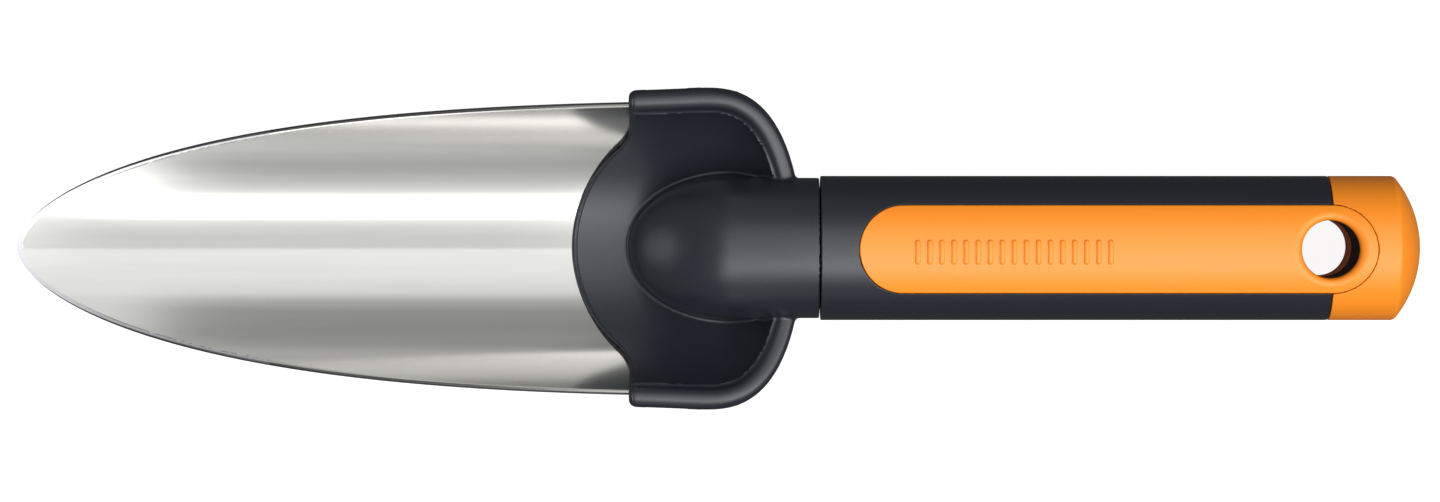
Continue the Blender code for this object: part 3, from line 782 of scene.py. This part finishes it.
def net_piece(name, field, grid, finish, place=straight, wrap=False):
    """Lay a net of faces over a field given in millimetres."""
    spots = np.stack(np.meshgrid(*grid, indexing="ij"), axis=-1).reshape(-1, 3)
    shape = tuple(len(values) for values in grid)
    value = field(*place(spots).T).reshape(shape)
    inside = value < 0.0
    count = np.zeros([n - 1 for n in shape], int)
    for corner in itertools.product((0, 1), repeat=3):
        window = tuple(slice(c, n - 1 + c) for c, n in zip(corner, shape))
        count += inside[window]
    active = (count > 0) & (count < 8)
    ids = np.full(active.shape, -1)
    ids[active] = np.arange(active.sum())
    points = slide_onto(field, place(net_points(value, active, grid)))
    faces = net_faces(inside, ids, wrap)
    normals = slope_of(field, points)
    normals /= np.maximum(np.linalg.norm(normals, axis=1), 1e-6)[:, None]
    mesh = bpy.data.meshes.new(name)
    mesh.from_pydata((points * MM).tolist(), [], faces.tolist())
    mesh.shade_smooth()
    mesh.normals_split_custom_set_from_vertices(normals.tolist())
    mesh.materials.append(finish)
    obj = bpy.data.objects.new(name, mesh)
    bpy.context.scene.collection.objects.link(obj)
    return obj


def steps(*stretches):
    """Grid lines from (start, end, spacing) stretches that follow each other."""
    lines = [np.array([stretches[0][0]])]
    for start, end, spacing in stretches:
        count = max(1, round((end - start) / spacing))
        lines.append(np.linspace(start, end, count + 1)[1:])
    return np.concatenate(lines)


def place_piece(obj, node):
    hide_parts(node)
    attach(obj, "root")
    print(f"{obj.name}: {len(obj.data.polygons)} faces stand for {node}")


print("grid lines from 0 to 2 in halves:", steps((0.0, 2.0, 0.5)))

# %% [markdown]
# ## The head
# One nylon moulding does three jobs: a scoop-shaped socket holds the blade's root, a round neck
# leads to the grip, and a tang inside the grip keeps the two in line. A rounded bead stiffens
# the scoop's rim, and a round apron covers the blade where it enters. Each of these is one
# field, and fillets join them as they would in the mould.

# %% Head: scoop, bead and apron
BELLY_R, HOLLOW_R = 41.0, 35.7
SCOOP_TURN_X, SCOOP_END = -3.5, 26.5    # where the scoop starts to close, and how long that is
SCOOP_POWER = 2.7                       # 2 would be an ellipse: higher is squarer
RIM_LOW_X = 15.6
BEAD_R, BEAD_PATH_R = 2.55, 38.6
BEAD_FILLET, BEAD_FILLET_FADE = 1.1, 1.5
RIM_Z, RIM_DROP = 23.8, 6.15
APRON_X, APRON_R = -4.3, 30.5
APRON_FILLET = 2.5                      # in the corners between apron and shoulders
NECK_R, NECK_END = 16.3, 16.0


def scoop(x, y, z, radius, end_length):
    """A round bar along the trough's axis with a squarish rounded end."""
    about = radius_about_x(y, z, TROUGH_Z)
    past = np.maximum(x - SCOOP_TURN_X, 0.0) / end_length
    near = np.sqrt((about / radius) ** 2 + past ** SCOOP_POWER)
    rate = np.hypot(about / radius ** 2, 0.5 * SCOOP_POWER * past ** (SCOOP_POWER - 1.0)
                    / end_length)
    return near * (near - 1.0) / np.maximum(rate, 1e-6)


def rim_height(x):
    closing = np.maximum(x - SCOOP_TURN_X, 0.0) / (RIM_LOW_X - SCOOP_TURN_X)
    return RIM_Z - RIM_DROP * np.minimum(closing, 1.6) ** 2.8


def bead_path():
    """The rim's centre line on one side, from inside the neck to ahead of the shoulder."""
    end_length = SCOOP_END - (BELLY_R - BEAD_PATH_R)
    stop_x = SCOOP_TURN_X + end_length
    x = stop_x + (SHOULDER_X - 8.0 - stop_x) * np.linspace(0.0, 1.0, 60) ** 1.7
    closing = np.maximum(x - SCOOP_TURN_X, 0.0) / end_length
    radius = BEAD_PATH_R * np.sqrt(1.0 - closing ** SCOOP_POWER)
    z = rim_height(x)
    y = np.sqrt(np.maximum(radius ** 2 - (TROUGH_Z - z) ** 2, 0.0))
    return np.stack([x, y, z], axis=1)[y > NECK_R / 2]


def distance_to_path(x, y, z, path):
    points = np.stack([x, np.abs(y), z], axis=-1)
    best = np.full(len(points), 1e3)
    for start, end in zip(path[:-1], path[1:]):
        run = end - start
        share = np.clip((points - start) @ run / (run @ run), 0.0, 1.0)
        away = points - start - share[:, None] * run
        best = np.minimum(best, (away ** 2).sum(1))
    return np.sqrt(best)


def apron_plan(x, y):
    """Plan of the head's front: a round apron between two flat shoulders."""
    return fillet_union(np.hypot(x - APRON_X, y) - APRON_R, SHOULDER_X - x, APRON_FILLET)


BEAD_PATH = bead_path()
print("the bead runs out to", round(BEAD_PATH[:, 1].max() + BEAD_R, 2), "mm from the middle")

# %% Head: nose, neck, tang and the blade's pocket
NOSE_X, NOSE_Z = 3.0, 4.8
NOSE_LENGTH, NOSE_HALF_WIDTH, NOSE_HEIGHT = 24.4, 17.4, 28.25
NOSE_ABOVE_BELLY, NOSE_FILLET = 0.8, 0.9
TANG_R, TANG_START_X, TANG_END_X = 8.5, 20.7, 59.3
KEY_X, KEY_R = ROOT_X - 8.0, 2.5         # the three keys through the blade's root
KEY_Y = (-16.0, 0.0, 16.0)
FRONT_EDGE_R, SHOULDER_EDGE_R = 0.7, 1.6
SOLE_EDGE_R = 0.3
SLOPE_X, SLOPE_RATE = 25.0, 0.0022       # the neck's top falls away ahead of this
WHOLE_TAPER, FRONT_TAPER, TAPER_LENGTH = 1.003, 0.019, 17.6    # it narrows to the front


def nose(x, y, z):
    """A lump that starts as the neck's own section and widens towards the scoop's floor."""
    rise = z - NOSE_Z
    lift = AXIS_Z - NOSE_Z
    room = NECK_R ** 2 - lift ** 2
    as_neck = (np.sqrt((rise * lift) ** 2 + (y ** 2 + rise ** 2) * room) - rise * lift) / room
    as_egg = np.hypot(y / NOSE_HALF_WIDTH, rise / NOSE_HEIGHT)
    near = np.hypot((x - NOSE_X) / NOSE_LENGTH, np.minimum(as_neck, as_egg))
    return near - 1.0


def even(field, x, y, z):
    """A field divided by its own slope, so that it grows a millimetre each millimetre."""
    step = 0.05
    slope = 1e-6
    for dx, dy, dz in ((step, 0.0, 0.0), (0.0, step, 0.0), (0.0, 0.0, step)):
        rise = field(x + dx, y + dy, z + dz) - field(x - dx, y - dy, z - dz)
        slope = slope + (rise / (2.0 * step)) ** 2
    return field(x, y, z) / np.sqrt(slope)


def neck(x, y, z):
    about = radius_about_x(y, z)
    front = np.maximum(NOSE_X - x, 0.0)
    near = np.hypot(about / NECK_R, front / NECK_END)
    rate = np.hypot(about / NECK_R ** 2, front / NECK_END ** 2)
    bar = near * (near - 1.0) / np.maximum(rate, 1e-6)
    return round_common(bar, x - (PARTING_X - GAP), 0.12)


def blade_half_width(x):
    along = np.clip((x - TIP_X) / OUTLINE_SPAN, 0.0, 1.0)
    return BLADE_HALF * (1.0 - (1.0 - along) ** OUTLINE_POWER) ** OUTLINE_ROUNDING


def blade_pocket(x, y, z):
    """The room for the blade's root, round the three keys that hold it."""
    about = radius_about_x(y, z, TROUGH_Z)
    middle = (SHEET_IN_R + SHEET_OUT_R) / 2
    layer = np.abs(about - middle) - (SHEET_OUT_R - SHEET_IN_R) / 2 - GAP
    angle = np.arctan2(np.abs(y), TROUGH_Z - z)
    side = (angle - np.arcsin(blade_half_width(x) / SHEET_OUT_R)) * SHEET_OUT_R - GAP
    room = np.maximum(np.maximum(layer, side), x - ROOT_X - GAP)
    for key_y in KEY_Y:
        room = np.maximum(room, KEY_R - np.hypot(x - KEY_X, y - key_y))
    return room


def scoop_shell(x, y, z):
    """The scoop with its rim bead, cut to the plan of the apron and the shoulders."""
    outer = scoop(x, y, z, BELLY_R, SCOOP_END)
    hollow = scoop(x, y, z, HOLLOW_R, SCOOP_END - (BELLY_R - HOLLOW_R))
    bead = distance_to_path(x, y, z, BEAD_PATH) - BEAD_R
    wall = np.maximum(-hollow, z - rim_height(x))
    middle = scoop(x, y, z, BEAD_PATH_R, SCOOP_END - (BELLY_R - BEAD_PATH_R))
    reach = BEAD_FILLET * np.clip(-middle / BEAD_FILLET_FADE, 0.0, 1.0)    # inside only
    shell = np.minimum(np.maximum(outer, fillet_union(wall, bead, reach)), bead)
    plan = apron_plan(x, y)
    towards_rim = np.clip((np.abs(y) - 28.0) / 4.0, 0.0, 1.0)
    corner = FRONT_EDGE_R + (SHOULDER_EDGE_R - FRONT_EDGE_R) * towards_rim
    shell = round_common(shell, plan, corner)
    return shell, outer


def head_field(x, y, z):
    """The whole moulding: scoop, nose, neck and tang, less the pocket and the pin's hole."""
    ahead = np.maximum(SLOPE_X - x, 0.0)
    sunk = AXIS_Z + (z - AXIS_Z) * (1.0 + SLOPE_RATE * ahead ** 2 / NECK_R)
    sunk = np.maximum(z, sunk)
    taper = WHOLE_TAPER + FRONT_TAPER * np.clip((SCOOP_TURN_X - x) / TAPER_LENGTH, 0.0, 1.0)
    shell, outer = scoop_shell(x, y * taper, z)
    lump = np.maximum(even(nose, x, y, sunk), outer + NOSE_ABOVE_BELLY)
    head = fillet_union(shell, np.minimum(lump, neck(x, y, sunk)), NOSE_FILLET)
    head = round_common(head, -z, SOLE_EDGE_R)
    tang = round_common(radius_about_x(y, z) - TANG_R, between(x, TANG_START_X, TANG_END_X),
                        0.4)
    head = np.minimum(head, tang)
    head = np.maximum(head, -blade_pocket(x, y, z))
    return np.maximum(head, PIN_HOLE_R - np.hypot(x - PIN_X, y))


HEAD_GRID = (steps((-36.0, -19.5, 0.45), (-19.5, 12.0, 0.75), (12.0, 24.0, 0.4),
                   (24.0, 60.5, 0.9)),
             steps((-38.5, 38.5, 0.5)), steps((-1.0, 34.0, 0.5)))
head = net_piece("head_socket", head_field, HEAD_GRID, black_nylon)
edge = head.data.attributes.new("front_edge", "FLOAT", "POINT")
spots = np.array([v.co for v in head.data.vertices]) / MM
edge.data.foreach_set("value", apron_plan(spots[:, 0], spots[:, 1]) * MM)
place_piece(head, "head_moulding")

# %% [markdown]
# ## The grip: sleeve, inlays, core and end cap
# The grip is moulded in layers. A black core runs through it, a black sleeve lies round the
# core, and soft orange inlays fill two long beds with round ends. The beds run over the seam
# into the orange end cap, and the hanging hole passes through everything.

# %% Grip fields
SLEEVE_BORE, RECESS_R, INLAY_IN_R = 12.3, 14.3, 14.6
INLAY_HALF, INLAY_START_X = 10.13, 42.23      # half width, and centre of the front half round
DOME_R, CAP_BORE_X = 25.8, 150.2
BED_EDGE, SEAM_EDGE, INLAY_EDGE, HOLE_EDGE, DOME_EDGE = 0.12, 0.15, 0.2, 2.1, 0.5
COLLAR_R, COLLAR_TOP_Z, EYE_FLOOR_Z = 15.7, AXIS_Z - 3.8, AXIS_Z - 3.5
SOCKET_OUT_R, SOCKET_IN_R, SOCKET_FLOOR_X = 12.0, 8.8, 59.6
SOCKET_X, RIBS_X, TONGUE_X = (23.6, 63.6), (61.6, 122.4), (119.6, 140.4)
RIB_HALF, RIB_REACH, TONGUE_HALF, TONGUE_UP = 1.5, 11.6, 7.5, 3.0


def inlay_plan(x, y):
    """Plan of an inlay: straight sides with a half round at each end."""
    past = x - np.clip(x, INLAY_START_X, SEAM_X)
    return np.hypot(past, y) - INLAY_HALF


def hole_plan(x, y, radius):
    return np.hypot(x - HANG_X, y) - radius


def without_beds(body, x, y, z):
    """Take the inlays' beds and the notch for the eye out of the sleeve or the cap."""
    about = radius_about_x(y, z)
    bed = np.maximum(inlay_plan(x, y) - TIGHT, RECESS_R - about)
    body = round_common(body, -bed, BED_EDGE)
    return np.maximum(body, -hole_plan(x, y, EYE_R + GAP))


def sleeve_field(x, y, z):
    about = radius_about_x(y, z)
    tube = round_common(about - GRIP_R, PARTING_X - x, SEAM_EDGE)
    tube = round_common(tube, x - (SEAM_X - GAP / 2), SEAM_EDGE)
    tube = np.maximum(tube, SLEEVE_BORE - about)
    tube = without_beds(tube, x, y, z)
    return np.maximum(tube, PIN_HOLE_R - np.hypot(x - PIN_X, y))


def cap_field(x, y, z):
    about = radius_about_x(y, z)
    dome = np.hypot(about, x - (END_X - DOME_R)) - DOME_R
    body = round_common(about - GRIP_R, dome, DOME_EDGE)
    body = round_common(body, SEAM_X + GAP / 2 - x, SEAM_EDGE)
    bore = np.maximum(about - SLEEVE_BORE, x - CAP_BORE_X)
    return without_beds(np.maximum(body, -bore), x, y, z)


def inlay_layer(x, y, z):
    about = radius_about_x(y, z)
    face = round_common(about - GRIP_R, -hole_plan(x, y, HANG_R), HOLE_EDGE)
    face = round_common(face, inlay_plan(x, y), INLAY_EDGE)
    return np.maximum(face, INLAY_IN_R - about)


def front_inlay_field(x, y, z):
    return np.maximum(inlay_layer(x, y, z), AXIS_Z - z)


def rear_inlay_field(x, y, z):
    """The layer on the back, and the collar that lines the hanging hole's last third."""
    about = radius_about_x(y, z)
    layer = np.maximum(inlay_layer(x, y, z), z - AXIS_Z)
    collar = np.maximum(np.maximum(hole_plan(x, y, EYE_R), about - COLLAR_R),
                        np.maximum(z - COLLAR_TOP_Z, -hole_plan(x, y, HANG_R)))
    return np.minimum(layer, collar)


def core_field(x, y, z):
    """A socket for the tang, two crossed ribs, a flat tongue, and an eye round the hole."""
    about = radius_about_x(y, z)
    up, aside = np.abs(z - AXIS_Z), np.abs(y)
    tube = np.maximum(np.maximum(about - SOCKET_OUT_R, between(x, *SOCKET_X)),
                      np.minimum(SOCKET_IN_R - about, x - SOCKET_FLOOR_X))
    upright = np.maximum(aside - RIB_HALF, up - RIB_REACH)
    level = np.maximum(aside - RIB_REACH, up - RIB_HALF)
    ribs = np.maximum(np.minimum(upright, level), between(x, *RIBS_X))
    tongue = np.maximum(np.maximum(aside - TONGUE_HALF, up - TONGUE_UP),
                        between(x, *TONGUE_X))
    eye = np.maximum(np.maximum(hole_plan(x, y, EYE_R), about - RECESS_R), EYE_FLOOR_Z - z)
    body = np.minimum(np.minimum(tube, ribs), np.minimum(tongue, eye))
    body = np.maximum(body, -hole_plan(x, y, HANG_R))
    return np.maximum(body, PIN_HOLE_R - np.hypot(x - PIN_X, y))


print("inlays:", round(SEAM_X - INLAY_START_X + 2 * INLAY_HALF, 1), "mm long")

# %% [markdown]
# ## The sleeve
# The sleeve is a thin round tube, and its beds have crisp edges. A square net would leave steps
# on the round wall, so this net is laid in turns: along the grip, round it, and outwards. Its
# lines crowd together where the bed's edges are.

# %% Sleeve
def about_grip(points):
    """Turn (x, angle, radius) into a place, with the angle measured from the top."""
    x, angle, radius = points.T
    return np.stack([x, radius * np.sin(angle), AXIS_Z + radius * np.cos(angle)], axis=1)


BED_ANGLE = math.asin((INLAY_HALF + TIGHT) / GRIP_R)


def turn_steps():
    """Grid lines round the grip, close together at the edges of both beds."""
    near = 0.07
    quarter = steps((0.0, BED_ANGLE - near, 0.05), (BED_ANGLE - near, BED_ANGLE + near, 0.012),
                    (BED_ANGLE + near, math.pi / 2, 0.045))
    half = np.concatenate([quarter, math.pi - quarter[-2::-1]])
    return np.concatenate([half[:-1] - math.pi, half])


SLEEVE_GRID = (steps((22.9, 24.5, 0.2), (24.5, 31.0, 1.0), (31.0, 43.0, 0.25),
                     (43.0, 130.0, 1.5), (130.0, 140.0, 0.4), (140.0, 141.3, 0.15)),
               turn_steps(), steps((11.6, 14.0, 0.6), (14.0, 15.0, 0.25), (15.0, 17.4, 0.2)))
sleeve = net_piece("grip_sleeve_skin", sleeve_field, SLEEVE_GRID, black_nylon, about_grip, True)
place_piece(sleeve, "grip_sleeve")

# %% [markdown]
# ## The inlays, the core and the cap
# An inlay is a soft layer in a bed, flush with the grip, and its edge is slightly rounded where
# it meets the bed. The net is fine at its round ends and at the hanging hole, and coarse along
# the straight middle, where nothing changes.

# %% Inlays
FINE = 0.22
INLAY_X = steps((31.4, 42.5, FINE), (42.5, 129.0, 0.9), (129.0, 152.0, FINE))
INLAY_Y = steps((-10.8, -9.2, 0.16), (-9.2, 9.2, 0.35), (9.2, 10.8, 0.16))
front_inlay = net_piece("inlay_front", front_inlay_field,
                        (INLAY_X, INLAY_Y, steps((26.4, 34.0, 0.28))), orange_soft)
place_piece(front_inlay, "front_inlay")
rear_inlay = net_piece("inlay_rear", rear_inlay_field,
                       (INLAY_X, INLAY_Y, steps((-0.6, 14.0, 0.28))), orange_soft)
place_piece(rear_inlay, "rear_inlay")

# %% Core and cap
core = net_piece("core_spar", core_field,
                 (steps((23.0, 119.0, 0.9), (119.0, 130.0, 0.6), (130.0, 150.4, 0.4)),
                  steps((-12.6, 12.6, 0.45)), steps((4.0, 32.0, 0.45))), core_nylon)
place_piece(core, "handle_core")
cap = net_piece("cap_end", cap_field,
                (steps((140.7, 163.2, 0.25)), steps((-17.4, 17.4, 0.33)),
                 steps((-0.6, 34.2, 0.33))), orange_soft)
place_piece(cap, "end_cap")

# %% [markdown]
# ## The grip ribs
# A row of low raised ribs on the front inlay gives the thumb a hold. Pieces that repeat suit
# Geometry Nodes: a line of points, a rib on each, and one formula that lays them all on the
# round grip. A rib is a ball pulled long and pressed flat, so its ends are round.

# %% Ribs tree
RIB_SIZES = {
    "Count": (WHOLE, 17), "First": (FLOAT, 45.4 * MM), "Spacing": (FLOAT, 2.77 * MM),
    "Length": (FLOAT, 5.8 * MM), "Width": (FLOAT, 1.3 * MM), "Height": (FLOAT, 0.55 * MM),
    "Sideways": (FLOAT, -0.6 * MM), "Grip Radius": (FLOAT, GRIP_R * MM),
    "Finish": (FINISH, orange_soft),
}


def build_rib_tree():
    tree, size = new_tree("row_of_ribs", RIB_SIZES)
    ball = add_node(tree, "GeometryNodeMeshUVSphere",
                    {"Segments": 24, "Rings": 13, "Radius": 1.0}).outputs["Mesh"]
    ball_x, ball_y, ball_z = own_place(tree)
    half_width = size["Width"] * 0.5
    pull = size["Length"] * 0.5 - half_width
    # the ball's poles are turned sideways first, so that the pull parts it at its equator
    long_way = ball_z * half_width + ball_z.of("SIGN") * pull
    shaped = point_from(tree, ball_x * half_width, long_way, ball_y * (size["Height"] * -1.0))
    rib = add_node(tree, "GeometryNodeSetPosition",
                   {"Geometry": ball, "Position": shaped}).outputs[0]
    first = point_from(tree, size["First"], size["Sideways"])
    step = point_from(tree, size["Spacing"])
    row = add_node(tree, "GeometryNodeMeshLine",
                   {"Count": size["Count"], "Start Location": first,
                    "Offset": step}).outputs["Mesh"]
    placed = add_node(tree, "GeometryNodeInstanceOnPoints", {"Points": row, "Instance": rib})
    real = add_node(tree, "GeometryNodeRealizeInstances", {"Geometry": placed.outputs[0]})
    _, here_y, _ = own_place(tree)
    square = size["Grip Radius"] ** 2.0 - here_y * here_y
    rise = size["Grip Radius"] + square.of("SQRT")
    laid = add_node(tree, "GeometryNodeSetPosition",
                    {"Geometry": real.outputs[0], "Offset": point_from(tree, z=rise)})
    smooth = add_node(tree, "GeometryNodeSetShadeSmooth", {"Geometry": laid.outputs[0]})
    finish_tree(tree, smooth.outputs[0], size["Finish"])
    return tree


ribs = make_from_tree("inlay_ribs", build_rib_tree(), RIB_SIZES, orange_soft)
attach(ribs, "root")
print("ribs:", len(ribs.data.polygons), "faces")

# %% [markdown]
# ## The pin
# The pin that holds the head in the grip is a plain round bar under the inlays. The frame's own
# shape is right, so it stays, and only gets its steel.

# %% Pin
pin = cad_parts["cross_pin"]
for slot in pin.material_slots:
    slot.material = pin_steel
print("pin:", len(pin.material_slots), "material slot in", pin.material_slots[0].material.name)
